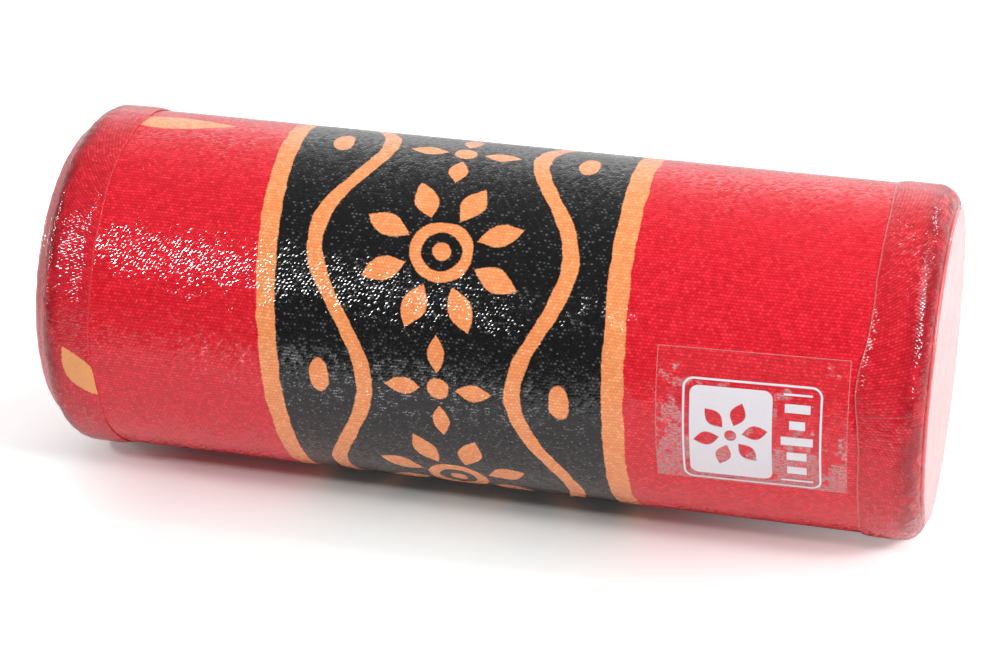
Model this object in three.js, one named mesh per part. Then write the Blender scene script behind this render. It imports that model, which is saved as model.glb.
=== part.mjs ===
// A tube shaker. A plastic tube is closed by two moulded end caps and wrapped in printed cotton,
// a round cloth cover is drawn over each end, a clear label film is stuck on, and loose shot lies inside.
// Millimetres, +Z up. The tube lies along X on its lowest flat, and the origin is under its middle.
import * as THREE from "three";

// Driving dimensions
const facets = 48; // sides of every round piece: a multiple of four, so that one flat faces down
const tubeLength = 214;
const tubeRadius = 44.5;
const tubeWall = 3.2;
const clothThickness = 0.5;
const clothSeamGap = 0.5; // between the two edges of the body cloth, where it meets itself
const clothSeamAngle = 232.5; // degrees from the top, over the front: low on the back
const coverThickness = 0.65; // cloth with the lacquer that has built up on it
const glueGap = 0.03; // between a glued or seated piece and what carries it

const leftLap = 7.6; // how far each cover's skirt reaches over the body cloth
const rightLap = 8.2;
const capShoulderHeight = 6.3; // from the tube's end to the rim
const capShoulderRadius = 4.6;
const facePlateRadius = 39.9;
const faceEdgeRadius = 0.8;
const leftFaceProud = 2.4; // how far each face plate stands out of its rim
const rightFaceProud = 0.8;
const facePlateThickness = 2.8;
const spigotDepth = 12;
const spigotWall = 2.6;
const spigotFit = 0.1; // radial, between spigot and tube
const spigotLeadIn = 1.2;
const capCornerRadius = 2;

const shotRadius = 2.5;
const shotRestGap = 0.3; // between a ball and the wall it lies on
const shotSideGap = 0.5; // between one ball's track round the tube and the next

const labelWidth = 47.4; // along the tube
const labelHeight = 37; // round the tube
const labelThickness = 0.12;
const labelMargin = 2.8; // between the label and the edge of the right cover's skirt
const labelAngle = 89.6; // degrees from the top, over the front
const labelTilt = 1.5; // degrees
const labelSteps = 24;

// Worked out from them
const degree = Math.PI / 180;
const halfFacet = Math.PI / facets;
const flatShare = Math.cos(halfFacet); // a flat's distance from the axis, as a share of the corner's
const boreRadius = tubeRadius - tubeWall;
const bodyClothInner = tubeRadius + glueGap;
const bodyClothOuter = bodyClothInner + clothThickness;
const coverOffset = glueGap + coverThickness; // from the cap's surface to the cover's outside
const coverOuter = bodyClothOuter + coverOffset;
const spigotRadius = boreRadius - spigotFit;
const shoulderCentreRadius = bodyClothOuter - capShoulderRadius;
const shoulderCentreHeight = capShoulderHeight - capShoulderRadius;
const axisHeight = coverOuter * flatShare;
const tubeCentre = (leftFaceProud - rightFaceProud) / 2; // keeps the origin under the middle of the whole
const tubeEnd = tubeLength / 2;
const labelCentre = tubeEnd - rightLap - labelMargin - labelWidth / 2;

const plastic = new THREE.MeshStandardMaterial({ color: 0xd9d6cc, roughness: 0.5, metalness: 0 });
const capPlastic = new THREE.MeshStandardMaterial({ color: 0x2b2b2d, roughness: 0.45, metalness: 0 });
const redCloth = new THREE.MeshStandardMaterial({ color: 0xd8202c, roughness: 0.25, metalness: 0 });
const clearFilm = new THREE.MeshStandardMaterial({
  color: 0xf4eeee,
  roughness: 0.2,
  metalness: 0,
  transparent: true,
  opacity: 0.35,
});
const steel = new THREE.MeshStandardMaterial({ color: 0xb9bcc0, roughness: 0.3, metalness: 1 });

const shaker = new THREE.Group();
// Everything below is placed from the middle of the tube's axis.
const onAxis = new THREE.Group();
onAxis.position.set(tubeCentre, 0, axisHeight);
shaker.add(onAxis);

function addPiece(name, geometry, material) {
  const mesh = new THREE.Mesh(geometry, material);
  mesh.name = name;
  onAxis.add(mesh);
  return mesh;
}

// Turns a closed profile of [distance along the tube, radius] points round the X axis.
function revolve(profile) {
  const points = profile.map(([along, radius]) => new THREE.Vector2(radius, along));
  const geometry = new THREE.LatheGeometry(points, facets, halfFacet, 2 * Math.PI);
  return geometry.rotateZ(-Math.PI / 2);
}

// Points of an arc in a profile, from one angle to another. Zero points outward from the axis, 90 along it.
function arc(centreAlong, centreRadius, radius, from, to, steps) {
  const points = [];
  for (let i = 0; i <= steps; i += 1) {
    const angle = (from + ((to - from) * i) / steps) * degree;
    points.push([centreAlong + radius * Math.sin(angle), centreRadius + radius * Math.cos(angle)]);
  }
  return points;
}

// A point on a faceted ring, at an angle from the top, measured over the front, in radians.
function ringPoint(radius, angle) {
  const turned = angle + halfFacet;
  const withinFacet = turned - Math.floor(turned / (2 * halfFacet)) * 2 * halfFacet - halfFacet;
  const reach = (radius * flatShare) / Math.cos(withinFacet);
  return new THREE.Vector2(-reach * Math.sin(angle), reach * Math.cos(angle));
}

function makeTube() {
  return revolve([
    [-tubeEnd, boreRadius],
    [-tubeEnd, tubeRadius],
    [tubeEnd, tubeRadius],
    [tubeEnd, boreRadius],
    [-tubeEnd, boreRadius],
  ]);
}

// The body cloth is one length of cloth whose two edges meet along the tube.
function makeBodyCloth() {
  const seam = clothSeamAngle * degree;
  const halfGap = clothSeamGap / 2 / bodyClothInner;
  const angles = [seam + halfGap];
  for (let corner = 0; corner < 2 * facets; corner += 1) {
    const angle = (2 * corner + 1) * halfFacet;
    if (angle > seam + halfGap && angle < seam + 2 * Math.PI - halfGap) angles.push(angle);
  }
  angles.push(seam + 2 * Math.PI - halfGap);
  const outside = angles.map((angle) => ringPoint(bodyClothOuter, angle));
  const inside = angles.map((angle) => ringPoint(bodyClothInner, angle)).reverse();
  const section = new THREE.Shape([...outside, ...inside]);
  const geometry = new THREE.ExtrudeGeometry(section, { depth: tubeLength, bevelEnabled: false });
  geometry.translate(0, 0, -tubeEnd);
  // The section's own x and y become Y and Z, and its depth becomes X.
  const turn = new THREE.Matrix4().makeBasis(
    new THREE.Vector3(0, 1, 0),
    new THREE.Vector3(0, 0, 1),
    new THREE.Vector3(1, 0, 0),
  );
  return geometry.applyMatrix4(turn);
}

// An end cap, measured outward from the tube's end: a face plate on a round shoulder,
// hollow behind, with a spigot that plugs the tube.
function capProfile(faceProud) {
  const faceHeight = capShoulderHeight + faceProud;
  const hollowRadius = spigotRadius - spigotWall;
  const plateBack = faceHeight - facePlateThickness;
  return [
    [faceHeight, 0],
    [faceHeight, facePlateRadius],
    [capShoulderHeight, facePlateRadius],
    ...arc(shoulderCentreHeight, shoulderCentreRadius, capShoulderRadius, 90, 0, 7),
    [glueGap, bodyClothOuter],
    [glueGap, spigotRadius],
    [spigotLeadIn - spigotDepth, spigotRadius],
    [-spigotDepth, spigotRadius - spigotLeadIn],
    [-spigotDepth, hollowRadius],
    ...arc(plateBack - capCornerRadius, hollowRadius - capCornerRadius, capCornerRadius, 0, 90, 3),
    [plateBack, 0],
  ];
}

// A cover, measured the same way: cloth that follows the cap's face, crease and shoulder,
// and ends in a skirt over the body cloth.
function coverProfile(faceProud, lap) {
  const innerFace = capShoulderHeight + faceProud + glueGap;
  const outerFace = innerFace + coverThickness;
  const plateOutside = facePlateRadius + coverOffset;
  const edge = Math.min(faceEdgeRadius, 0.9 * faceProud);
  const shoulderOutside = capShoulderRadius + coverOffset;
  const creaseCosine = (plateOutside - shoulderCentreRadius) / shoulderOutside;
  const creaseAngle = Math.acos(Math.min(Math.max(creaseCosine, 0), 1)) / degree;
  const annulus = creaseCosine < 0 ? [[capShoulderHeight + coverOffset, plateOutside]] : [];
  return [
    [outerFace, 0],
    ...arc(outerFace - edge, plateOutside - edge, edge, 90, 0, 3),
    ...annulus,
    ...arc(shoulderCentreHeight, shoulderCentreRadius, shoulderOutside, creaseAngle, 0, 8),
    [-lap, coverOuter],
    [-lap, bodyClothOuter + glueGap],
    ...arc(shoulderCentreHeight, shoulderCentreRadius, capShoulderRadius + glueGap, 0, 90, 7),
    [capShoulderHeight + glueGap, facePlateRadius + glueGap],
    [innerFace, facePlateRadius + glueGap],
    [innerFace, 0],
  ];
}

// Sets a profile that is measured outward from the tube's end on the right end or, mirrored, on the left.
function atRightEnd(profile) {
  return profile.map(([along, radius]) => [tubeEnd + along, radius]).reverse();
}

function atLeftEnd(profile) {
  return profile.map(([along, radius]) => [-tubeEnd - along, radius]);
}

// The film is a thin sheet, a little tilted, bent round the body cloth.
function makeLabelFilm() {
  const sheet = new THREE.BoxGeometry(labelWidth, labelHeight, labelThickness, 1, labelSteps, 1);
  sheet.rotateZ(labelTilt * degree);
  const inner = bodyClothOuter + glueGap;
  const position = sheet.getAttribute("position");
  for (let i = 0; i < position.count; i += 1) {
    const angle = labelAngle * degree - position.getY(i) / inner;
    const radius = inner + labelThickness / 2 + position.getZ(i);
    const along = labelCentre + position.getX(i);
    position.setXYZ(i, along, -radius * Math.sin(angle), radius * Math.cos(angle));
  }
  return sheet;
}

// The shot lies in one file along the bottom, and each ball can roll right round the bore.
function addShot() {
  const pitch = 2 * shotRadius + shotSideGap;
  const chamberLength = tubeLength - 2 * spigotDepth;
  const count = Math.floor(chamberLength / pitch);
  const trackRadius = boreRadius * flatShare - shotRestGap - shotRadius;
  for (let i = 0; i < count; i += 1) {
    const ball = addPiece(
      "shot_" + String(i + 1).padStart(2, "0"),
      new THREE.IcosahedronGeometry(shotRadius, 1),
      steel,
    );
    ball.position.set((i - (count - 1) / 2) * pitch, 0, -trackRadius);
  }
}

addPiece("shell_tube", makeTube(), plastic);
addPiece("end_cap_left", revolve(atLeftEnd(capProfile(leftFaceProud))), capPlastic);
addPiece("end_cap_right", revolve(atRightEnd(capProfile(rightFaceProud))), capPlastic);
addPiece("body_cloth", makeBodyCloth(), redCloth);
addPiece("end_cover_left", revolve(atLeftEnd(coverProfile(leftFaceProud, leftLap))), redCloth);
addPiece("end_cover_right", revolve(atRightEnd(coverProfile(rightFaceProud, rightLap))), redCloth);
addPiece("label_film", makeLabelFilm(), clearFilm);
addShot();

export default shaker;
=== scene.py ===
import math

import bmesh
import bpy
import numpy as np
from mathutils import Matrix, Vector, noise


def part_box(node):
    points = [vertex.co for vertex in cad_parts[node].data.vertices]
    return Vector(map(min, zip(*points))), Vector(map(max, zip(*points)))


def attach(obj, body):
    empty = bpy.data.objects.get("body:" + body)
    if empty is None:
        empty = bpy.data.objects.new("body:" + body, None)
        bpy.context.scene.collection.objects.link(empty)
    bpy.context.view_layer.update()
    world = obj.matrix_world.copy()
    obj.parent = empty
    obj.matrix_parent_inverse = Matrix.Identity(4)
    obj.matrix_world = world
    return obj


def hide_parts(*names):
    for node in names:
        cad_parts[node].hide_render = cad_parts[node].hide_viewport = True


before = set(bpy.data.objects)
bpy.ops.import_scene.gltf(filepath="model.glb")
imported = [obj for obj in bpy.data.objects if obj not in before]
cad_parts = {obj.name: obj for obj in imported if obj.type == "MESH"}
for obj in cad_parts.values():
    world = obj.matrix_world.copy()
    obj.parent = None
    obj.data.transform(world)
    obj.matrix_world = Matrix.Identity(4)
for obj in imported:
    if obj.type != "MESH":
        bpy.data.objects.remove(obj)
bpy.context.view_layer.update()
mm = 0.001
print("frame loaded")

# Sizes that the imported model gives
tubeLow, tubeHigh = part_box("shell_tube")
clothLow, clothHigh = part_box("body_cloth")
coverBoxes = {"Left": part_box("end_cover_left"), "Right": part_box("end_cover_right")}
capBoxes = {"Left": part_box("end_cap_left"), "Right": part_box("end_cap_right")}
coverLow, coverHigh = coverBoxes["Right"]
axisHeight = (coverLow[2] + coverHigh[2]) / 2
tubeMiddle = (tubeLow[0] + tubeHigh[0]) / 2
tubeHalf = (tubeHigh[0] - tubeLow[0]) / 2
bodyRadius = (clothHigh[2] - clothLow[2]) / 2
coverRadius = (coverHigh[2] - coverLow[2]) / 2
tubeRadius = (tubeHigh[2] - tubeLow[2]) / 2


def makeObject(name, bm, material, body, replaced, sharpAngle=40):
    mesh = bpy.data.meshes.new(name)
    bm.to_mesh(mesh)
    bm.free()
    for face in mesh.polygons:
        face.use_smooth = True
    mesh.set_sharp_from_angle(angle=math.radians(sharpAngle))
    mesh.materials.append(material)
    piece = bpy.data.objects.new(name, mesh)
    bpy.context.scene.collection.objects.link(piece)
    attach(piece, body)
    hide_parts(replaced)
    return piece


def turnOutline(outline, segments, closed=False, layers=()):
    # outline is a list of (distance along the tube, radius), layers the values that its points carry
    bm = bmesh.new()
    stores = [(bm.verts.layers.float.new(key), values) for key, values in layers]
    points = []
    for i, (along, radius) in enumerate(outline):
        vert = bm.verts.new((along, 0, axisHeight + radius))
        for layer, values in stores:
            vert[layer] = values[i]
        points.append(vert)
    edges = [bm.edges.new(pair) for pair in zip(points, points[1:])]
    if closed:
        edges.append(bm.edges.new((points[-1], points[0])))
    bmesh.ops.spin(
        bm,
        geom=points + edges,
        cent=(0, 0, axisHeight),
        axis=(1, 0, 0),
        angle=2 * math.pi,
        steps=segments,
        use_merge=True,
    )
    bmesh.ops.remove_doubles(bm, verts=bm.verts, dist=1e-6)
    bmesh.ops.recalc_face_normals(bm, faces=bm.faces)
    return bm


def arcPoints(centreAlong, centreRadius, radius, start, end, steps):
    # Zero degrees points away from the axis, 90 degrees along it, outward
    points = []
    for i in range(steps + 1):
        angle = math.radians(start + (end - start) * i / steps)
        points.append((centreAlong + radius * math.sin(angle), centreRadius + radius * math.cos(angle)))
    return points


def spreadPoints(outline, spacing):
    # Puts more points on the long stretches of an outline
    spread = [outline[0]]
    for (a, b), (c, d) in zip(outline, outline[1:]):
        count = max(1, math.ceil(math.hypot(c - a, d - b) / spacing))
        spread += [(a + (c - a) * k / count, b + (d - b) * k / count) for k in range(1, count + 1)]
    return spread


def atEnd(side, outline):
    # Puts an outline that is measured outward from the tube's end on that end
    return [(tubeMiddle + side * (tubeHalf + along), radius) for along, radius in outline]


def endReach(side, box):
    # How far a piece goes out past its end of the tube, and how far back over it or into it
    inner, outer = (box[0][0], box[1][0]) if side > 0 else (box[1][0], box[0][0])
    return side * (outer - tubeMiddle) - tubeHalf, tubeHalf - side * (inner - tubeMiddle)


def thicken(piece, thickness, offset):
    thick = piece.modifiers.new("thickness", "SOLIDIFY")
    thick.thickness = thickness
    thick.offset = offset


def storeVectors(piece, name, values):
    attribute = piece.data.attributes.new(name, "FLOAT_VECTOR", "POINT")
    attribute.data.foreach_set("vector", np.asarray(values, dtype=np.float32).ravel())


def pointsOf(piece):
    values = np.empty(len(piece.data.vertices) * 3)
    piece.data.vertices.foreach_get("co", values)
    return values.reshape(-1, 3)


def angleUp(points):
    # Radians from the front, going up, for points round the tube
    return np.arctan2(points[:, 2] - axisHeight, -points[:, 1])


def put(tree, kind, inputs=None, **settings):
    # Adds a node; an input is another node's output, which is linked, or a plain value
    node = tree.nodes.new(kind)
    for key, value in settings.items():
        setattr(node, key, value)
    for key, value in (inputs or {}).items():
        if isinstance(value, bpy.types.NodeSocket):
            tree.links.new(value, node.inputs[key])
        else:
            node.inputs[key].default_value = value
    return node


def calc(tree, operation, *values):
    return put(tree, "ShaderNodeMath", dict(enumerate(values)), operation=operation).outputs[0]


def chain(tree, operation, values):
    result = values[0]
    for value in values[1:]:
        result = calc(tree, operation, result, value)
    return result


def times(tree, *values):
    return chain(tree, "MULTIPLY", values)


def plus(tree, *values):
    return chain(tree, "ADD", values)


def largest(tree, *values):
    return chain(tree, "MAXIMUM", values)


def smallest(tree, *values):
    return chain(tree, "MINIMUM", values)


def minus(tree, first, second):
    return calc(tree, "SUBTRACT", first, second)


def distance(tree, first, second):
    return calc(tree, "ABSOLUTE", minus(tree, first, second))


def diagonal(tree, x, y):
    return calc(tree, "SQRT", plus(tree, times(tree, x, x), times(tree, y, y)))


def mapRange(tree, value, low, high, start, end, steps="LINEAR"):
    inputs = {"Value": value, "From Min": low, "From Max": high, "To Min": start, "To Max": end}
    return put(tree, "ShaderNodeMapRange", inputs, interpolation_type=steps).outputs["Result"]


def smoothMask(tree, value, low, high):
    # 0 below low, 1 above high, with a soft step between
    return mapRange(tree, value, low, high, 0.0, 1.0, "SMOOTHSTEP")


def insideMask(tree, value, soft=0.15):
    # 1 where a shape's value is positive, with a soft edge
    return smoothMask(tree, value, -soft, soft)


def mixColour(tree, factor, first, second):
    node = put(tree, "ShaderNodeMix", {0: factor, 6: first, 7: second}, data_type="RGBA")
    return node.outputs[2]


def noiseValue(tree, place, scale, detail, roughness=0.5):
    inputs = {"Vector": place, "Scale": scale, "Detail": detail, "Roughness": roughness}
    return put(tree, "ShaderNodeTexNoise", inputs).outputs["Fac"]


def noiseRound(tree, place, scale, detail, amount):
    # Noise that goes as far below zero as above it
    return times(tree, minus(tree, noiseValue(tree, place, scale, detail), 0.5), amount)


def vectorMath(tree, operation, first, second):
    return put(tree, "ShaderNodeVectorMath", {0: first, 1: second}, operation=operation).outputs[0]


def scaled(tree, vector, factors):
    return vectorMath(tree, "MULTIPLY", vector, factors)


def splitVector(tree, vector):
    return tuple(put(tree, "ShaderNodeSeparateXYZ", {"Vector": vector}).outputs)


def readPlace(tree, name):
    return put(tree, "ShaderNodeAttribute", attribute_name=name).outputs["Vector"]


def newGroup(name, inputs, outputs):
    # inputs maps each name to its usual number, or to None for a vector; all outputs are numbers
    tree = bpy.data.node_groups.new(name, "ShaderNodeTree")
    for key, value in inputs.items():
        kind = "NodeSocketVector" if value is None else "NodeSocketFloat"
        socket = tree.interface.new_socket(key, in_out="INPUT", socket_type=kind)
        if value is not None:
            socket.default_value = value
    for key in outputs:
        tree.interface.new_socket(key, in_out="OUTPUT", socket_type="NodeSocketFloat")
    return tree, tree.nodes.new("NodeGroupInput").outputs, tree.nodes.new("NodeGroupOutput").inputs


def placeGroup(tree, group, inputs):
    return put(tree, "ShaderNodeGroup", inputs, node_tree=group).outputs


def newMaterial(name, **settings):
    material = bpy.data.materials.new(name)
    material.use_nodes = True
    tree = material.node_tree
    shader = tree.nodes["Principled BSDF"]
    for key, value in settings.items():
        shader.inputs[key].default_value = value
    return material, tree, shader


def addBump(tree, shader, height, depth, strength=1.0):
    bump = put(tree, "ShaderNodeBump", {"Height": height, "Strength": strength, "Distance": depth})
    tree.links.new(bump.outputs["Normal"], shader.inputs["Normal"])


threads = {
    "alongPitch": 0.515,  # millimetres from thread to thread, along the tube and round it
    "roundPitch": 0.86,
    "stray": 1.1,  # millimetres that the rows wander
    "fallAlong": 0.10,  # how much a crown falls off each way
    "fallRound": 0.44,
    "slant": 0.29,
    "slubs": 0.012,
    "leanAlong": 0.06,  # how far the crowns lean, each its own way
    "leanRound": 0.46,
}


def nearestCrown(tree, given, u, v, shift):
    # For one grid of crowns: the way to the nearest along and round, how far the thread
    # has fallen there, and two numbers that tell the crown from the others
    ways, names = [], []
    for value in (u, v):
        place = plus(tree, times(tree, value, 0.5), shift)
        nearest = calc(tree, "ROUND", place)
        ways.append(minus(tree, place, nearest))
        names.append(plus(tree, nearest, shift * 401))
    fallAlong = times(tree, ways[0], ways[0], given["Fall Along"])
    fallRound = times(tree, ways[1], ways[1], given["Fall Round"])
    # a crown lies slantwise, so it falls less toward its upper right and lower left
    slant = times(tree, *ways, given["Slant"])
    return *ways, minus(tree, plus(tree, fallAlong, fallRound), slant), *names


def makeWeaveGroup():
    # Plain weave seen through lacquer. Place is in millimetres along and across the cloth.
    tree, given, out = newGroup(
        "clothWeave",
        {
            "Place": None,
            "Along Pitch": threads["alongPitch"],
            "Round Pitch": threads["roundPitch"],
            "Fall Along": threads["fallAlong"],
            "Fall Round": threads["fallRound"],
            "Slant": threads["slant"],
            "Slubs": threads["slubs"],
        },
        ["Height", "Painted Shade And Grain", "Painted Glints", "Fleck"],
    )
    place = given["Place"]
    # threads wander a little, so that the rows are not ruled
    wander = put(tree, "ShaderNodeTexNoise", {"Vector": place, "Scale": 0.11, "Detail": 2.0})
    offset = vectorMath(tree, "SUBTRACT", wander.outputs["Color"], (0.5, 0.5, 0.5))
    offset = scaled(tree, offset, (threads["stray"], threads["stray"], 0.0))
    moved = vectorMath(tree, "ADD", offset, place)
    x, y, _ = splitVector(tree, moved)
    u = calc(tree, "DIVIDE", x, given["Along Pitch"])
    v = calc(tree, "DIVIDE", y, given["Round Pitch"])
    # one crown for each thread that lies on top, at every second crossing: two grids, half a step apart
    crowns = [nearestCrown(tree, given, u, v, shift) for shift in (0.0, 0.5)]
    second = calc(tree, "LESS_THAN", crowns[1][2], crowns[0][2])
    fromX, fromY, fall, nameX, nameY = (
        put(tree, "ShaderNodeMix", {0: second, 2: first, 3: other}, data_type="FLOAT").outputs[0]
        for first, other in zip(*crowns)
    )
    # every crown leans its own way
    cell = put(tree, "ShaderNodeCombineXYZ", {"X": nameX, "Y": nameY}).outputs[0]
    own = put(tree, "ShaderNodeTexWhiteNoise", {"Vector": cell}, noise_dimensions="3D").outputs["Color"]
    ownX, ownY, _ = splitVector(tree, own)
    leanAlong = times(tree, minus(tree, ownX, 0.5), fromX, threads["leanAlong"])
    leanRound = times(tree, minus(tree, ownY, 0.5), fromY, threads["leanRound"])
    # each thread is thicker here and thinner there
    slub = noiseValue(tree, scaled(tree, moved, (0.25, 1.2, 0.0)), 1.0, 2.0)
    slub = times(tree, slub, given["Slubs"])
    height = plus(tree, minus(tree, slub, fall), plus(tree, leanAlong, leanRound))
    tree.links.new(height, out["Height"])
    # painted shade: lightest in the middle of a crown, darker toward its edges where the thread dips,
    # and lighter on some crowns than on others
    edge = plus(tree, times(tree, fromX, fromX, 1.6), times(tree, fromY, fromY, 9.0))
    shade = plus(tree, times(tree, minus(tree, 1.0, edge), 0.6), times(tree, ownX, 0.4))
    fleck = noiseValue(tree, moved, 3.4, 1.0, 0.6)
    paintedShadeAndGrain = plus(tree, times(tree, fleck, 0.5), times(tree, shade, 0.5))
    # painted shade between the threads, mixed with random grain, and painted glints on the crowns of
    # some threads
    tree.links.new(smoothMask(tree, paintedShadeAndGrain, 0.15, 0.80), out["Painted Shade And Grain"])
    tree.links.new(smoothMask(tree, shade, 0.80, 0.96), out["Painted Glints"])
    tree.links.new(fleck, out["Fleck"])
    return tree


def makeLacquerGroup():
    # Slow swells in the lacquer, and how rough it is from place to place
    tree, given, out = newGroup(
        "lacquerFilm",
        {"Place": None, "Weave": 0.5, "Relief": 1.0, "Swell": 1.0, "Gloss": 0.2},
        ["Height", "Roughness"],
    )
    swell = noiseValue(tree, given["Place"], 0.22, 3.0, 0.55)
    # where the lacquer is thin the weave stands out more, and the film is a little duller
    thin = smoothMask(tree, noiseValue(tree, given["Place"], 0.06, 3.0, 0.6), 0.35, 0.65)
    relief = times(tree, given["Relief"], plus(tree, times(tree, thin, 0.5), 0.6))
    height = plus(tree, times(tree, given["Weave"], relief), times(tree, swell, given["Swell"]))
    tree.links.new(height, out["Height"])
    tree.links.new(plus(tree, given["Gloss"], times(tree, thin, 0.03)), out["Roughness"])
    return tree


weaveGroup = makeWeaveGroup()
lacquerGroup = makeLacquerGroup()
print("shared effects made")


def dyeWithPaintedShadeAndGlints(tree, weave, look, dye):
    # Painted shade between the threads, mixed with random grain; the dye's full colour on them; and
    # painted glints on the crowns of some
    colour = mixColour(tree, weave["Painted Shade And Grain"], look[dye + "Deep"], look[dye])
    return mixColour(tree, weave["Painted Glints"], colour, look[dye + "Crown"])


def addLacquer(tree, shader, place, weave, relief, look):
    # Gives the shader its normal, and returns how rough the film is
    film = placeGroup(
        tree,
        lacquerGroup,
        {
            "Place": place,
            "Weave": weave["Height"],
            "Relief": relief,
            "Swell": look["swell"],
            "Gloss": look["gloss"],
        },
    )
    addBump(tree, shader, film["Height"], mm)
    return film["Roughness"]


clothLook = {
    # for each dye: its colour, a darker one for painted shade between the threads with dark grain, and a
    # lighter one for painted glints on some crowns
    "red": (0.90, 0.022, 0.042, 1),
    "redDeep": (0.42, 0.002, 0.008, 1),
    "redCrown": (1.0, 0.040, 0.060, 1),
    "peach": (1.0, 0.40, 0.16, 1),
    "peachDeep": (0.78, 0.19, 0.05, 1),
    "peachCrown": (1.0, 0.48, 0.22, 1),
    "black": (0.013, 0.013, 0.014, 1),
    "blackDeep": (0.003, 0.003, 0.003, 1),
    "blackCrown": (0.10, 0.10, 0.105, 1),
    "relief": 1.0,  # share of the weave's full relief
    "swell": 0.05,  # millimetres
    "gloss": 0.08,
}
# Lengths are in millimetres, and places along the tube are from its middle
bandPrint = {
    "leftStripe": (-55.03, -50.18),  # the two edges of a peach border stripe
    "rightStripe": (34.47, 39.95),
    "underStripe": 2.0,  # how far the black runs on under the stripes
    "leftSlant": -4.44,  # how far the print leans, for each radian round the tube
    "rightSlant": -1.48,
    "straightAt": 0.4,  # radians up from the front, where the print lies straight
    "leanReach": 1.25,  # radians over which it leans
    "repeats": 4,
    "bandMiddle": -8.0,
    "line": 4.2,  # width of the bold lines
    "vine": (26.0, 6.5),  # way of a winding line from the band's middle, and its swing
    "petals": (8, 9.6, 21.5, 6.2, 0.0),  # how many, where they start and end, their width and turn
    "leaves": (4, 4.6, 14.0, 4.6, math.pi / 4),
    "ring": (6.6, 1.5),  # radius, and half its width
    "eye": 2.4,
    "disc": 2.9,
    "bud": (31.5, 2.6, 0.3),  # way from the band's middle, half its width, and share that draws it out
    "scrap": (-87.0, 72.5, 4.0, 34.0, 8.5),  # leaf by the left seam: place, turn, length and width
    "wobble": 1.5,  # unevenness of the printed edges, over a stretch and along the threads
    "soak": 0.6,
}


def leafHalf(tree, value, start, end, width):
    # Half a leaf's width at a place between its two ends
    share = mapRange(tree, value, start, end, 0.0, math.pi)
    return times(tree, calc(tree, "SINE", share), width / 2)


def addPetals(tree, x, y, count, inner, outer, width, turn):
    # A ring of leaf shapes round x = y = 0: positive inside a leaf
    radius = diagonal(tree, x, y)
    sector = 2 * math.pi / count
    angle = plus(tree, calc(tree, "ARCTAN2", y, x), turn + 8 * math.pi)
    local = minus(tree, calc(tree, "MODULO", angle, sector), sector / 2)
    along = times(tree, radius, calc(tree, "COSINE", local))
    across = calc(tree, "ABSOLUTE", times(tree, radius, calc(tree, "SINE", local)))
    leaf = minus(tree, leafHalf(tree, along, inner, outer, width), across)
    return smallest(tree, leaf, minus(tree, along, inner), minus(tree, outer, along)), radius


def makePrintGroup():
    # Peach figures on the black band: rosettes between two winding lines. Positive inside a figure.
    band = bandPrint
    tree, given, out = newGroup(
        "bandPrint",
        {"Place": None, "Repeat": 70.0, "Middle": 0.0, "Line": band["line"]},
        ["Figure"],
    )
    x, y, _ = splitVector(tree, given["Place"])
    x = minus(tree, x, given["Middle"])
    repeat = given["Repeat"]
    # y is folded into one repeat, with a rosette in its middle, and again with the place between two
    turns = calc(tree, "DIVIDE", y, repeat)
    local = times(tree, minus(tree, calc(tree, "FRACT", turns), 0.5), repeat)
    between = times(tree, minus(tree, calc(tree, "FRACT", plus(tree, turns, 0.5)), 0.5), repeat)
    # two winding lines
    wave = calc(tree, "COSINE", times(tree, calc(tree, "DIVIDE", local, repeat), 2 * math.pi))
    side = calc(tree, "ABSOLUTE", x)
    vinePlace, swing = band["vine"]
    path = plus(tree, times(tree, wave, swing), vinePlace)
    vine = minus(tree, times(tree, given["Line"], 0.5), distance(tree, side, path))
    # rosette
    petals, radius = addPetals(tree, x, local, *band["petals"])
    ringRadius, ringHalf = band["ring"]
    ring = minus(tree, ringHalf, distance(tree, radius, ringRadius))
    eye = minus(tree, band["eye"], radius)
    # small disc and four leaves between the rosettes
    leaves, farRadius = addPetals(tree, x, between, *band["leaves"])
    disc = minus(tree, band["disc"], farRadius)
    # a bud outside each winding line where it swings inward
    budPlace, budHalf, budDraw = band["bud"]
    across = minus(tree, side, budPlace)
    squares = plus(tree, times(tree, across, across), times(tree, between, between, budDraw))
    bud = minus(tree, budHalf, calc(tree, "SQRT", squares))
    tree.links.new(largest(tree, vine, petals, ring, eye, leaves, disc, bud), out["Figure"])
    return tree


printGroup = makePrintGroup()


def stripeValue(tree, x, low, high):
    return minus(tree, (high - low) / 2, distance(tree, x, (low + high) / 2))


def leafValue(tree, place, x, y, turn, length, width):
    # Positive inside a leaf shape
    mapping = put(
        tree,
        "ShaderNodeMapping",
        {"Vector": place, "Location": (x, y, 0), "Rotation": (0, 0, math.radians(turn))},
        vector_type="TEXTURE",
    ).outputs["Vector"]
    u, v, _ = splitVector(tree, mapping)
    leaf = leafHalf(tree, u, -length / 2, length / 2, width)
    inside = minus(tree, leaf, calc(tree, "ABSOLUTE", v))
    return smallest(tree, inside, minus(tree, length / 2, calc(tree, "ABSOLUTE", u)))


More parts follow.
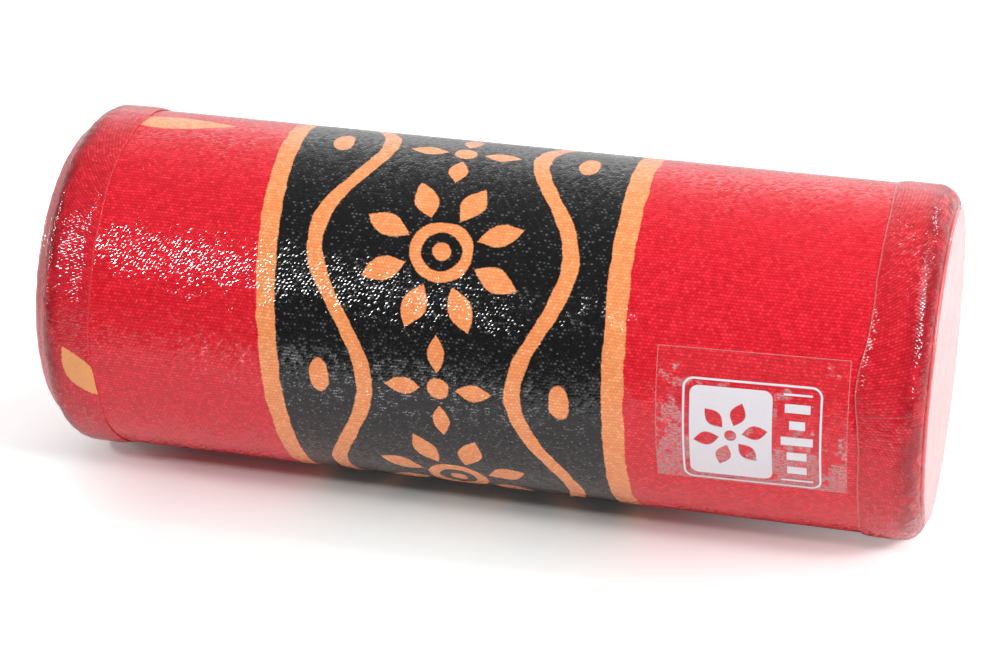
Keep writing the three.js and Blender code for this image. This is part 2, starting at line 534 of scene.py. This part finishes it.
def makeBodyClothMaterial():
    look, band = clothLook, bandPrint
    material, tree, shader = newMaterial("printedCloth", IOR=1.5)
    place = readPlace(tree, "clothPlace")
    weave = placeGroup(tree, weaveGroup, {"Place": place})
    # the printed edges wobble, and soak along the threads
    wobble = noiseRound(tree, place, 0.16, 2.0, band["wobble"])
    ragged = plus(tree, wobble, noiseRound(tree, place, 2.4, 1.0, band["soak"]))
    x, _, _ = splitVector(tree, place)
    figure = placeGroup(
        tree,
        printGroup,
        {
            "Place": place,
            "Repeat": 2 * math.pi * bodyRadius / mm / band["repeats"],
            "Middle": band["bandMiddle"],
            "Line": band["line"],
        },
    )["Figure"]
    stripes = [stripeValue(tree, x, *band[key]) for key in ("leftStripe", "rightStripe")]
    peachMask = insideMask(tree, plus(tree, largest(tree, figure, *stripes), ragged))
    scrapMask = insideMask(tree, plus(tree, leafValue(tree, place, *band["scrap"]), ragged))
    low, high = band["leftStripe"][1], band["rightStripe"][0]
    under = band["underStripe"]
    blackMask = insideMask(tree, stripeValue(tree, x, low - under, high + under))
    # past the stripes the figures stop
    inBand = insideMask(tree, stripeValue(tree, x, low - 3 * under, high + 3 * under), 0.1)
    red, peach, black = (dyeWithPaintedShadeAndGlints(tree, weave, look, dye) for dye in ("red", "peach", "black"))
    colour = mixColour(tree, blackMask, red, black)
    colour = mixColour(tree, times(tree, peachMask, inBand), colour, peach)
    colour = mixColour(tree, scrapMask, colour, peach)
    tree.links.new(colour, shader.inputs["Base Color"])
    rough = addLacquer(tree, shader, place, weave, look["relief"], look)
    tree.links.new(rough, shader.inputs["Roughness"])
    return material


def printShift(x, angle):
    # Where a point of the tube lies in the print, millimetres from the tube's middle
    band = bandPrint
    lean = band["leanReach"] * np.sin((angle - band["straightAt"]) / band["leanReach"])
    low, high = band["leftStripe"][1], band["rightStripe"][0]
    place = x.copy()
    for _ in range(4):
        share = np.clip((place - low) / (high - low), 0, 1)
        place = x - lean * (band["leftSlant"] + (band["rightSlant"] - band["leftSlant"]) * share)
    return place


def storeClothPlace(piece, points, angle):
    # Millimetres along and round the body cloth, as its print lies
    place = np.zeros_like(points)
    place[:, 0] = printShift((points[:, 0] - tubeMiddle) / mm, angle)
    place[:, 1] = angle * bodyRadius / mm
    storeVectors(piece, "clothPlace", place)


bodyClothShape = {
    "thickness": 0.5 * mm,
    "seamAngle": -142.5,  # degrees up from the front, so low on the back
    "seamGap": 0.5 * mm,
    "rows": 72,
    "sides": 288,
    "unevenness": 0.06 * mm,
    "unevenScale": 60,
    "evenEnds": 20 * mm,  # how far from each end the unevenness fades
}


def makeBodyCloth():
    shape = bodyClothShape
    gap = shape["seamGap"] / bodyRadius
    start = math.radians(shape["seamAngle"]) + gap / 2
    bm = bmesh.new()
    turn = math.radians(90) - start  # from the top of the circle to the seam
    y, z = bodyRadius * math.sin(turn), bodyRadius * math.cos(turn)
    length, rows = clothHigh[0] - clothLow[0], shape["rows"]
    points = [
        bm.verts.new((clothLow[0] + length * i / rows, -y, axisHeight + z)) for i in range(rows + 1)
    ]
    edges = [bm.edges.new(pair) for pair in zip(points, points[1:])]
    bmesh.ops.spin(
        bm,
        geom=points + edges,
        cent=(0, 0, axisHeight),
        axis=(-1, 0, 0),
        angle=2 * math.pi - gap,
        steps=shape["sides"],
        use_merge=False,
    )
    bmesh.ops.recalc_face_normals(bm, faces=bm.faces)
    # recalculating leaves an open shell either way round, so the first face decides
    bm.faces.ensure_lookup_table()
    face = bm.faces[0]
    outward = face.calc_center_median() - Vector((face.calc_center_median().x, 0, axisHeight))
    if face.normal.dot(outward) < 0:
        bmesh.ops.reverse_faces(bm, faces=bm.faces)
    for vert in bm.verts:
        out = Vector((0, vert.co.y, vert.co.z - axisHeight)).normalized()
        ends = min(1, (tubeHalf - abs(vert.co.x - tubeMiddle)) / shape["evenEnds"])
        swell = noise.noise(vert.co * shape["unevenScale"]) - 0.6
        vert.co += out * shape["unevenness"] * ends * swell * 0.6
    piece = makeObject("bodyCloth", bm, makeBodyClothMaterial(), "shaker", "body_cloth")
    points = pointsOf(piece)
    angle = angleUp(points)
    # counted on from the seam, so that the first column sits on the seam itself
    angle = np.where(angle < math.radians(shape["seamAngle"]), angle + 2 * math.pi, angle)
    storeClothPlace(piece, points, angle)
    thicken(piece, shape["thickness"], -1)


coverLook = {
    # the red, a darker one for painted shade between the threads with dark grain, and a lighter one for
    # painted glints on some crowns
    "red": (0.78, 0.022, 0.040, 1),
    "redDeep": (0.34, 0.002, 0.008, 1),
    "redCrown": (0.86, 0.040, 0.060, 1),
    # darker red, for patches on the shoulder and by the crease, and for specks on the face
    "darkening": (0.22, 0.006, 0.012, 1),
    "faceReflectionPaint": (0.84, 0.34, 0.34, 1),  # painted reflection of the bright room on the face plate
    # painted highlight along the skirt's edge, where the lacquer bead catches light
    "edge": (0.95, 0.42, 0.40, 1),
    "peach": (0.90, 0.38, 0.13, 1),
    "relief": 1.3,
    "swell": 0.07,
    "gloss": 0.08,
    "creaseDull": 0.12,  # roughness that dirt in the crease adds
    "faceCoat": 0.3,
    "coatRoughness": 0.12,
}
coverShape = {
    "thickness": 0.62 * mm,
    "shoulderRadius": 5.28 * mm,
    "rimHeight": 6.98 * mm,  # outward from the tube's end
    "plateRadius": 40.49 * mm,
    "faceEdge": 1.0 * mm,
    "crease": 0.9 * mm,  # fillet where the shoulder meets the face plate
    "lip": 0.14 * mm,
    "thinning": 0.4 * mm,  # how much thinner the skirt gets toward its edge
    # where it gets thinner: distance from the edge, and share of the thinning
    "thinPoints": ((3.4 * mm, 0.0), (2.4 * mm, 0.10), (1.5 * mm, 0.34), (0.8 * mm, 0.68)),
    "sides": 360,
    "pucker": 0.16 * mm,
    "puckerPlace": 4 * mm,  # past the plate's edge, where the puckers are deepest
    "puckerReach": 7 * mm,
    "edgeWave": 0.5 * mm,
    "waveStart": 1 * mm,  # outward from the tube's end, where the skirt starts to wander
    "waveReach": 6 * mm,  # from there back to where it wanders fully
    "bulgeWidth": 0.22,  # radians
}
coverEnds = {
    "Left": {
        "side": -1,
        "seed": 3.7,
        "bulge": 0.0,  # how far the skirt's edge bulges over the body cloth in one place
        "bulgeAngle": 200.0,  # degrees up from the front
        "edgeHighlightShare": 0.06,  # how strong the painted highlight along the skirt's edge is
        "faceReflectionShare": 0.85,  # how much painted reflection makes the face pale
        # leaves of peach print: distance from the tube's end, way round, turn, length, width
        "fragments": [(-4.0, -7.5, 62.0, 17.0, 7.5)],
    },
    "Right": {
        "side": 1,
        "seed": 11.2,
        "bulge": 1.6 * mm,
        "bulgeAngle": 18.0,
        "edgeHighlightShare": 0.3,
        "faceReflectionShare": 0.5,
        "fragments": [],
    },
}


def coverOutline(faceHeight, lap):
    # From the middle of the face to the skirt's edge, and back inside: way from the tube's end, radius
    shape = coverShape
    shoulder = shape["shoulderRadius"]
    centreRadius = coverRadius - shoulder
    centre = shape["rimHeight"] - shoulder
    proud = faceHeight - shape["rimHeight"]
    edge = min(shape["faceEdge"], 0.75 * proud)
    crease = min(shape["crease"], 0.6 * (proud - edge) + 0.2 * mm)
    plate = shape["plateRadius"]
    outside = [(faceHeight, 0)]
    outside += arcPoints(faceHeight - edge, plate - edge, edge, 90, 0, 8)
    # the crease is a hollow fillet between the plate's wall and the shoulder
    startAngle = math.degrees(math.asin(min(1, (plate + crease - centreRadius) / (shoulder + crease))))
    filletAlong = centre + (shoulder + crease) * math.cos(math.radians(startAngle))
    for turn in np.linspace(0, -math.radians(90 - startAngle), 5):
        outside.append((filletAlong + crease * math.sin(turn), plate + crease - crease * math.cos(turn)))
    outside += arcPoints(centre, centreRadius, shoulder, 90 - startAngle, 0, 16)
    thin, lip = shape["thinning"], shape["lip"]
    outside += [(-lap + back, coverRadius - share * thin) for back, share in shape["thinPoints"]]
    outside += arcPoints(-lap + lip, coverRadius - thin - lip, lip, 0, -90, 4)
    wall = shape["thickness"]
    inside = [(-lap, coverRadius - wall), (-lap + 1.2 * mm, coverRadius - wall)]
    inside += arcPoints(centre, centreRadius, shoulder - wall, 0, 90, 12)
    inside += [(shape["rimHeight"] - wall, plate - wall)]
    inside += [(faceHeight - wall, plate - wall), (faceHeight - wall, 0)]
    return outside, inside


def coverAngleNoise(angle, frequency, seed):
    return noise.noise(Vector((math.cos(angle) * frequency, math.sin(angle) * frequency, seed)))


def makeCover(end, material):
    settings, shape = coverEnds[end], coverShape
    side, seed = settings["side"], settings["seed"]
    outside, inside = coverOutline(*endReach(side, coverBoxes[end]))
    outside = spreadPoints(outside, 1.6 * mm)
    inside = spreadPoints(inside, 6 * mm)
    reach, total = [0.0], 0.0
    for (a, b), (c, d) in zip(outside, outside[1:]):
        total += math.hypot(c - a, d - b)
        reach.append(total)
    # the inner wall carries the same cloth, counted back from the edge
    for (a, b), (c, d) in zip([outside[-1]] + inside, inside):
        total = max(0.0, total - math.hypot(c - a, d - b))
        reach.append(total)
    outer = [1.0] * len(outside) + [0.0] * len(inside)
    layers = [("reach", reach), ("outer", outer)]
    bm = turnOutline(atEnd(side, outside + inside), shape["sides"], layers=layers)
    reachLayer = bm.verts.layers.float["reach"]
    outerLayer = bm.verts.layers.float["outer"]
    puckerPlace = shape["plateRadius"] + shape["puckerPlace"]
    bulgeAngle = math.radians(settings["bulgeAngle"])
    for vert in bm.verts:
        angle = math.atan2(vert.co.z - axisHeight, -vert.co.y)
        radial = Vector((0, vert.co.y, vert.co.z - axisHeight))
        if radial.length > 1e-5:
            radial.normalize()
        along = side * (vert.co.x - tubeMiddle) - tubeHalf
        # the skirt's edge wanders along the tube, and bulges in one place
        nearEdge = max(0.0, min(1.0, (shape["waveStart"] - along) / shape["waveReach"]))
        away = (angle - bulgeAngle + math.pi) % (2 * math.pi) - math.pi
        wave = coverAngleNoise(angle, 2.2, seed) * shape["edgeWave"] * 1.6
        wave += coverAngleNoise(angle, 9, seed) * shape["edgeWave"] * 0.5
        wave += settings["bulge"] * math.exp(-((away / shape["bulgeWidth"]) ** 2))
        vert.co.x -= side * wave * nearEdge
        if vert[outerLayer] < 0.5:
            continue
        # small puckers where the cloth is drawn in over the shoulder
        past = (vert[reachLayer] - puckerPlace) / shape["puckerReach"]
        ripple = coverAngleNoise(angle, 13, seed + 5) + 0.6 * coverAngleNoise(angle, 27, seed)
        ripple = (ripple - 0.55) * shape["pucker"] * math.exp(-past * past)
        endward = max(0.0, min(1.0, along / shape["rimHeight"]))
        outward = (radial * (1 - 0.6 * endward) + Vector((side, 0, 0)) * endward).normalized()
        vert.co += outward * ripple
    name = "endCover" + end
    piece = makeObject(name, bm, material, "shaker", "end_cover_" + end.lower(), 60)
    points = pointsOf(piece)
    angle = angleUp(points)
    values = np.empty(len(points))
    piece.data.attributes["reach"].data.foreach_get("value", values)
    place = np.zeros_like(points)
    place[:, 0] = values / mm * np.cos(angle)
    place[:, 1] = values / mm * np.sin(angle)
    storeVectors(piece, "clothPlace", place)
    # way outward from the tube's end, way round, and way from the skirt's edge
    wrap = np.zeros_like(points)
    wrap[:, 0] = side * (points[:, 0] - tubeMiddle) / mm - tubeHalf / mm
    wrap[:, 1] = angle * coverRadius / mm
    wrap[:, 2] = (max(reach) - values) / mm
    storeVectors(piece, "wrapPlace", wrap)
    return piece, 2 * max(reach)


def makeCoverMaterial(end):
    look, settings = coverLook, coverEnds[end]
    rim = coverShape["rimHeight"] / mm
    material, tree, shader = newMaterial(end.lower() + "CoverCloth", IOR=1.5)
    place = readPlace(tree, "clothPlace")
    wrap = readPlace(tree, "wrapPlace")
    along, _, fromEdge = splitVector(tree, wrap)
    weave = placeGroup(tree, weaveGroup, {"Place": place})
    colour = dyeWithPaintedShadeAndGlints(tree, weave, look, "red")
    for fragment in settings["fragments"]:
        ragged = noiseRound(tree, place, 1.2, 2.0, 0.9)
        mask = insideMask(tree, plus(tree, leafValue(tree, wrap, *fragment), ragged))
        colour = mixColour(tree, mask, colour, look["peach"])
    # the shoulder and the crease are darkened in patches
    patches = noiseValue(tree, scaled(tree, wrap, (0.30, 0.09, 0.0)), 1.0, 4.0, 0.65)
    patches = smoothMask(tree, patches, 0.32, 0.58)
    shoulder = smoothMask(tree, along, -0.5, 4.0)
    grain = smoothMask(tree, weave["Fleck"], 0.3, 0.6)
    shoulderDarkening = times(tree, patches, shoulder, plus(tree, times(tree, grain, 0.45), 0.45))
    face = smoothMask(tree, along, rim - 0.1, rim + 0.3)
    offFace = minus(tree, 1.0, face)
    colour = mixColour(tree, times(tree, shoulderDarkening, offFace), colour, look["darkening"])
    # painted highlight: a pale line along the skirt's edge, where the lacquer bead catches the light
    edgeHighlight = minus(tree, 1.0, smoothMask(tree, fromEdge, 0.25, 0.65))
    colour = mixColour(tree, times(tree, edgeHighlight, settings["edgeHighlightShare"]), colour, look["edge"])
    # painted reflection: the face is painted pale, as the bright room shows in it at grazing, with a few
    # dark specks
    colour = mixColour(tree, times(tree, face, settings["faceReflectionShare"]), colour, look["faceReflectionPaint"])
    specks = smoothMask(tree, noiseValue(tree, place, 1.5, 2.0, 0.6), 0.60, 0.68)
    colour = mixColour(tree, times(tree, specks, face, 0.7), colour, look["darkening"])
    tree.links.new(colour, shader.inputs["Base Color"])
    tree.links.new(times(tree, face, look["faceCoat"]), shader.inputs["Coat Weight"])
    shader.inputs["Coat Roughness"].default_value = look["coatRoughness"]
    # the weave stands out less on the face than on the round parts
    relief = times(tree, plus(tree, times(tree, offFace, 0.5), 0.5), look["relief"])
    rough = addLacquer(tree, shader, place, weave, relief, look)
    crease = times(tree, smoothMask(tree, along, rim - 1.6, rim - 0.4), offFace)
    rough = plus(tree, rough, times(tree, crease, look["creaseDull"]))
    tree.links.new(rough, shader.inputs["Roughness"])
    return material


labelShape = {
    "width": 47.4 * mm,
    "height": 37.0 * mm,
    "thickness": 0.10 * mm,
    "gap": 0.03 * mm,
    "centre": 72.3 * mm,
    "angle": 0.4,  # degrees up from the front
    "tilt": 1.5,
    "columns": 48,
    "rows": 40,
}
# A frame, and in it a panel with a plain flower, and a column of bars. All in millimetres.
labelPrint = {
    "middle": (0.2, -3.4),
    "frame": (35.0, 30.0),
    "corner": 3.0,
    "frameLine": 0.55,
    "panel": (20.5, 25.5),
    "panelCorner": 2.2,
    "panelMiddle": -5.2,
    "flower": (6, 2.9, 9.4, 3.8, 0.3),  # petals, where they start and end, their width and turn
    "eye": 1.5,
    "barMiddle": 11.2,
    "barPitch": 4.4,
    "barHalf": 1.15,
    "barReach": (2.9, 1.1),  # half a bar's length, and how much that varies
    "columnHalf": 12.6,
    "ink": (0.86, 0.83, 0.88, 1),
    "air": (0.85, 0.55, 0.56, 1),
    # how much hides the cloth: the ink, the air under the film, its edge, and clear film
    "alpha": {"ink": 0.94, "air": 0.9, "edge": 0.28, "clear": 0.012},
}


def roundedBox(tree, x, y, width, height, corner):
    # Positive inside a rectangle with rounded corners
    dx = minus(tree, calc(tree, "ABSOLUTE", x), width / 2 - corner)
    dy = minus(tree, calc(tree, "ABSOLUTE", y), height / 2 - corner)
    far = diagonal(tree, largest(tree, dx, 0.0), largest(tree, dy, 0.0))
    near = smallest(tree, largest(tree, dx, dy), 0.0)
    return minus(tree, corner, plus(tree, far, near))


def labelInk(tree, fx, fy):
    # Positive where the label is printed
    art = labelPrint
    x = minus(tree, fx, art["middle"][0])
    y = minus(tree, fy, art["middle"][1])
    box = roundedBox(tree, x, y, *art["frame"], art["corner"])
    line = minus(tree, art["frameLine"] / 2, distance(tree, box, art["frameLine"]))
    # the flower is left out of the panel's ink
    px = minus(tree, x, art["panelMiddle"])
    panel = roundedBox(tree, px, y, *art["panel"], art["panelCorner"])
    petals, radius = addPetals(tree, px, y, *art["flower"])
    flower = largest(tree, petals, minus(tree, art["eye"], radius))
    panel = smallest(tree, panel, times(tree, flower, -1.0))
    # rows are counted from far below the label, and their lengths vary from row to row
    row = plus(tree, calc(tree, "DIVIDE", y, art["barPitch"]), 50.5)
    rowPlace = times(tree, minus(tree, calc(tree, "FRACT", row), 0.5), art["barPitch"])
    reach, vary = art["barReach"]
    longer = times(tree, calc(tree, "SINE", times(tree, calc(tree, "FLOOR", row), 2.3)), vary)
    bars = smallest(
        tree,
        minus(tree, plus(tree, reach, longer), distance(tree, x, art["barMiddle"])),
        minus(tree, art["barHalf"], calc(tree, "ABSOLUTE", rowPlace)),
        minus(tree, art["columnHalf"], calc(tree, "ABSOLUTE", y)),
    )
    return largest(tree, line, panel, bars)


def makeLabelMaterial():
    art, share = labelPrint, labelPrint["alpha"]
    material, tree, shader = newMaterial("clearLabelFilm", IOR=1.45, Roughness=0.22)
    place = readPlace(tree, "filmPlace")
    cloth = readPlace(tree, "clothPlace")
    x, y, _ = splitVector(tree, place)
    inkMask = insideMask(tree, labelInk(tree, x, y), 0.08)
    # air under the film, in patches that follow the threads, most at the bottom and the left
    cloud = noiseValue(tree, vectorMath(tree, "SNAP", cloth, (0.84, 0.42, 1.0)), 0.16, 3.0, 0.6)
    low = mapRange(tree, y, -16.0, 6.0, 0.19, -0.06)
    left = mapRange(tree, x, -23.0, -14.0, 0.10, 0.0)
    lifted = smoothMask(tree, plus(tree, cloud, low, left), 0.55, 0.62)
    dashes = noiseValue(tree, scaled(tree, cloth, (0.9, 2.6, 0.0)), 1.0, 1.0)
    dashes = smoothMask(tree, dashes, 0.44, 0.60)
    air = times(tree, lifted, plus(tree, times(tree, dashes, 0.36), 0.10))
    edge = roundedBox(tree, x, y, labelShape["width"] / mm, labelShape["height"] / mm, 0.3)
    edgeMask = minus(tree, 1.0, smoothMask(tree, edge, 0.0, 0.35))
    alpha = largest(
        tree,
        times(tree, inkMask, share["ink"]),
        times(tree, air, share["air"]),
        times(tree, edgeMask, share["edge"]),
        share["clear"],
    )
    tree.links.new(mixColour(tree, inkMask, art["air"], art["ink"]), shader.inputs["Base Color"])
    tree.links.new(alpha, shader.inputs["Alpha"])
    weave = placeGroup(tree, weaveGroup, {"Place": cloth})
    addBump(tree, shader, weave["Height"], 0.35 * mm)
    return material


def makeLabelFilm():
    shape = labelShape
    bm = bmesh.new()
    bmesh.ops.create_grid(bm, x_segments=shape["columns"], y_segments=shape["rows"], size=0.5)
    flat = []
    radius = bodyRadius + shape["gap"]
    cosTilt, sinTilt = math.cos(math.radians(shape["tilt"])), math.sin(math.radians(shape["tilt"]))
    bm.verts.ensure_lookup_table()
    for vert in bm.verts:
        u, v = vert.co.x * shape["width"], vert.co.y * shape["height"]
        flat.append((u / mm, v / mm, 0))
        along = shape["centre"] + u * cosTilt - v * sinTilt
        angle = math.radians(shape["angle"]) + (u * sinTilt + v * cosTilt) / bodyRadius
        vert.co = (
            tubeMiddle + along,
            -radius * math.cos(angle),
            axisHeight + radius * math.sin(angle),
        )
    bm.faces.ensure_lookup_table()
    bm.normal_update()
    if bm.faces[0].normal.y > 0:
        bmesh.ops.reverse_faces(bm, faces=bm.faces)
    piece = makeObject("labelFilm", bm, makeLabelMaterial(), "shaker", "label_film")
    storeVectors(piece, "filmPlace", flat)
    points = pointsOf(piece)
    storeClothPlace(piece, points, angleUp(points))
    thicken(piece, shape["thickness"], 1)


# colour, colour of the streaks, roughness, and how close the streaks lie each way
plasticLooks = {
    "tubePlastic": ((0.80, 0.78, 0.72, 1), (0.72, 0.70, 0.63, 1), 0.38, (20, 260, 260)),
    "capPlastic": ((0.03, 0.03, 0.033, 1), (0.018, 0.018, 0.02, 1), 0.42, (180, 180, 180)),
}
steelLook = {
    "bright": (0.62, 0.62, 0.64, 1),
    "scuffed": (0.38, 0.37, 0.37, 1),
    "roughness": (0.18, 0.25),  # where it is bright, and how much scuffs add
}


def makePlasticMaterial(name):
    colour, dark, roughness, scale = plasticLooks[name]
    material, tree, shader = newMaterial(name, IOR=1.49)
    where = put(tree, "ShaderNodeTexCoord").outputs["Object"]
    streaks = noiseValue(tree, scaled(tree, where, scale), 1.0, 3.0, 0.6)
    fine = noiseValue(tree, where, 2600.0, 2.0)
    mixed = mixColour(tree, smoothMask(tree, streaks, 0.3, 0.7), dark, colour)
    tree.links.new(mixed, shader.inputs["Base Color"])
    tree.links.new(plus(tree, times(tree, streaks, 0.16), roughness), shader.inputs["Roughness"])
    addBump(tree, shader, plus(tree, times(tree, fine, 0.02), times(tree, streaks, 0.03)), mm, 0.6)
    return material


def makeSteelMaterial():
    look = steelLook
    material, tree, shader = newMaterial("shotSteel", Metallic=1.0)
    where = put(tree, "ShaderNodeTexCoord").outputs["Object"]
    scuff = noiseValue(tree, where, 900.0, 4.0, 0.7)
    mask = smoothMask(tree, scuff, 0.42, 0.66)
    tree.links.new(mixColour(tree, mask, look["bright"], look["scuffed"]), shader.inputs["Base Color"])
    smooth, scuffAdds = look["roughness"]
    tree.links.new(plus(tree, times(tree, mask, scuffAdds), smooth), shader.inputs["Roughness"])
    addBump(tree, shader, scuff, 0.01 * mm, 0.5)
    return material


tubeShape = {
    "wall": 3.2 * mm,
    "sides": 160,
    "endBreak": 0.4 * mm,
    "clothGap": 0.04 * mm,
}
capShape = {
    "shoulder": 4.55 * mm,
    "rimHeight": 6.25 * mm,
    "plateRadius": 39.8 * mm,
    "plateBreak": 0.4 * mm,
    "plate": 2.8 * mm,
    "spigotWall": 2.6 * mm,
    "spigotFit": 0.12 * mm,
    "lead": 1.2 * mm,
    "corner": 2.0 * mm,
    "gap": 0.03 * mm,  # between the cap and what it seats on
    "faceGap": 0.02 * mm,
    "sides": 160,
}


def makeTube(material):
    shape = tubeShape
    bore, chamfer = tubeRadius - shape["wall"], shape["endBreak"]
    outside = tubeRadius - shape["clothGap"]
    outline = [
        (tubeLow[0], bore),
        (tubeLow[0], outside - chamfer),
        (tubeLow[0] + chamfer, outside),
        (tubeHigh[0] - chamfer, outside),
        (tubeHigh[0], outside - chamfer),
        (tubeHigh[0], bore),
    ]
    bm = turnOutline(outline, shape["sides"], closed=True)
    makeObject("shellTube", bm, material, "shaker", "shell_tube", 30)


def makeCap(end, material):
    shape = capShape
    side = coverEnds[end]["side"]
    face, depth = endReach(side, capBoxes[end])
    face -= shape["faceGap"]
    outer = bodyRadius - shape["gap"]
    spigot = tubeRadius - tubeShape["wall"] - shape["spigotFit"]
    hollow = spigot - shape["spigotWall"]
    back = face - shape["plate"]
    rim, plate, blunt = shape["rimHeight"], shape["plateRadius"], shape["plateBreak"]
    shoulder, corner, lead = shape["shoulder"], shape["corner"], shape["lead"]
    outline = [(face, 0), (face, plate - blunt), (face - blunt, plate), (rim, plate)]
    outline += arcPoints(rim - shoulder, outer - shoulder, shoulder, 90, 0, 12)
    outline += [(shape["gap"], outer), (shape["gap"], spigot), (lead - depth, spigot)]
    outline += [(-depth, spigot - lead), (-depth, hollow)]
    outline += arcPoints(back - corner, hollow - corner, corner, 0, 90, 6)
    outline += [(back, 0)]
    bm = turnOutline(atEnd(side, outline), shape["sides"])
    makeObject("endCap" + end, bm, material, "shaker", "end_cap_" + end.lower(), 30)


def makeShot(material):
    names = sorted(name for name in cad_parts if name.startswith("shot_"))
    for name in names:
        low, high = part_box(name)
        radius = (high[0] - low[0]) / 2
        centre = Vector([(a + b) / 2 for a, b in zip(low, high)])
        bm = bmesh.new()
        bmesh.ops.create_icosphere(bm, subdivisions=3, radius=radius)
        bmesh.ops.translate(bm, vec=centre, verts=bm.verts)
        makeObject("ball" + name[5:], bm, material, name + "_ball", name)


makeTube(makePlasticMaterial("tubePlastic"))
makeBodyCloth()
print("tube and body cloth made")
capPlastic = makePlasticMaterial("capPlastic")
for endName in coverEnds:
    makeCap(endName, capPlastic)
    cover, cutWidth = makeCover(endName, makeCoverMaterial(endName))
print("end caps and covers made")
makeLabelFilm()
makeShot(makeSteelMaterial())
print("label and shot made")

studio = {
    "floorColour": (0.90, 0.885, 0.885, 1),
    "floorSeen": (0.93, 0.99, 0.99, 1),  # the same paper as the camera sees it
    "pastPaper": (0.10, 0.10, 0.10, 1),
    "paperEdge": -0.195,  # the white paper ends this far in front; past it reflections are dark
    # a little light of its own, seen by the camera alone: by the shaker, and away from it
    "floorLift": (0.02, 0.40),
    # where the one gives way to the other, metres from the origin
    "liftAlong": ((0.03, 0.13), (-0.08, -0.14)),
    "liftAcross": ((-0.06, -0.12), (0.04, 0.08)),
    "lampDistance": 1.3,
    # direction from the shaker, size in metres, power in watts
    "lamps": {
        "keyLight": ((-0.42, -0.67, 0.63), 0.13, 4.5),
        "rightLight": ((0.76, -0.39, 0.56), 0.27, 9.6),
        "topLight": ((0.52, -0.18, 0.84), 0.90, 7.4),
        "rimLight": ((-0.97, -0.06, 0.22), 0.12, 2.6),
        "backLight": ((0.42, 0.64, 0.64), 0.10, 1.4),
        "seamLight": ((0.30, 0.08, 0.95), 0.08, 1.0),
    },
    # brightness of the room by direction, from the dark front to the white sweep behind
    "room": [
        (0.0, 0.06),
        (0.32, 0.14),
        (0.5, 0.20),
        (0.63, 0.26),
        (0.725, 0.37),
        (0.815, 0.62),
        (0.885, 0.94),
        (0.94, 1.22),
        (0.975, 1.35),
    ],
    "lens": 103.165,  # millimetres, and so are the next two
    "sensor": 36,
    "place": (165.0, -656.6, 331.0),  # of the camera, from the middle of the tube's axis
    "lookDown": 26.408,  # degrees
    "turn": 14.283,
}


def makeFloor():
    bm = bmesh.new()
    bmesh.ops.create_grid(bm, x_segments=1, y_segments=1, size=4)
    mesh = bpy.data.meshes.new("floor")
    bm.to_mesh(mesh)
    bm.free()
    floor = bpy.data.objects.new("floor", mesh)
    bpy.context.scene.collection.objects.link(floor)
    material, tree, shader = newMaterial("whiteFloor", Roughness=0.7)
    shader.inputs["Specular IOR Level"].default_value = 0.1
    x, y, _ = splitVector(tree, put(tree, "ShaderNodeTexCoord").outputs["Object"])
    camera = put(tree, "ShaderNodeLightPath").outputs["Is Camera Ray"]
    edge = studio["paperEdge"]
    onPaper = largest(tree, smoothMask(tree, y, edge - 0.02, edge + 0.02), camera)
    paper = mixColour(tree, camera, studio["floorColour"], studio["floorSeen"])
    tree.links.new(mixColour(tree, onPaper, studio["pastPaper"], paper), shader.inputs["Base Color"])
    shader.inputs["Emission Color"].default_value = (1, 1, 1, 1)
    masks = [smoothMask(tree, x, near, far) for near, far in studio["liftAlong"]]
    masks += [smoothMask(tree, y, near, far) for near, far in studio["liftAcross"]]
    low, high = studio["floorLift"]
    lift = plus(tree, times(tree, largest(tree, *masks), high - low), low)
    tree.links.new(times(tree, camera, lift), shader.inputs["Emission Strength"])
    mesh.materials.append(material)


def addLamps():
    for name, (direction, size, power) in studio["lamps"].items():
        light = bpy.data.lights.new(name, "AREA")
        light.shape = "SQUARE"
        light.size = size
        light.energy = power
        lamp = bpy.data.objects.new(name, light)
        away = Vector(direction).normalized()
        lamp.location = Vector((0, 0, axisHeight)) + away * studio["lampDistance"]
        lamp.rotation_euler = (-away).to_track_quat("-Z", "Y").to_euler()
        bpy.context.scene.collection.objects.link(lamp)


def makeWorld():
    world = bpy.data.worlds.new("studio")
    world.use_nodes = True
    tree = world.node_tree
    background = tree.nodes["Background"]
    _, y, _ = splitVector(tree, put(tree, "ShaderNodeTexCoord").outputs["Generated"])
    fromFront = plus(tree, times(tree, y, 0.5), 0.5)
    ramp = put(tree, "ShaderNodeValToRGB", {"Fac": fromFront})
    steps = ramp.color_ramp.elements
    strongest = studio["room"][-1][1]
    for i, (place, value) in enumerate(studio["room"]):
        step = steps[i] if i < 2 else steps.new(place)
        step.position = place
        step.color = (value / strongest, value / strongest, value / strongest, 1)
    camera = put(tree, "ShaderNodeLightPath").outputs["Is Camera Ray"]
    seen = mixColour(tree, camera, ramp.outputs["Color"], (1, 1, 1, 1))
    tree.links.new(seen, background.inputs["Color"])
    background.inputs["Strength"].default_value = strongest
    bpy.context.scene.world = world


def makeCamera():
    data = bpy.data.cameras.new("camera")
    data.sensor_fit = "HORIZONTAL"
    data.sensor_width = studio["sensor"]
    data.lens = studio["lens"]
    data.clip_start = 0.01
    data.clip_end = 20
    camera = bpy.data.objects.new("camera", data)
    x, y, z = (value * mm for value in studio["place"])
    camera.location = (tubeMiddle + x, y, axisHeight + z)
    camera.rotation_mode = "XYZ"
    tilt = math.radians(90 - studio["lookDown"])
    camera.rotation_euler = (tilt, 0, math.radians(studio["turn"]))
    bpy.context.scene.collection.objects.link(camera)
    bpy.context.scene.camera = camera


makeFloor()
addLamps()
makeWorld()
makeCamera()
bpy.context.scene.view_settings.view_transform = "Standard"
print("studio made")
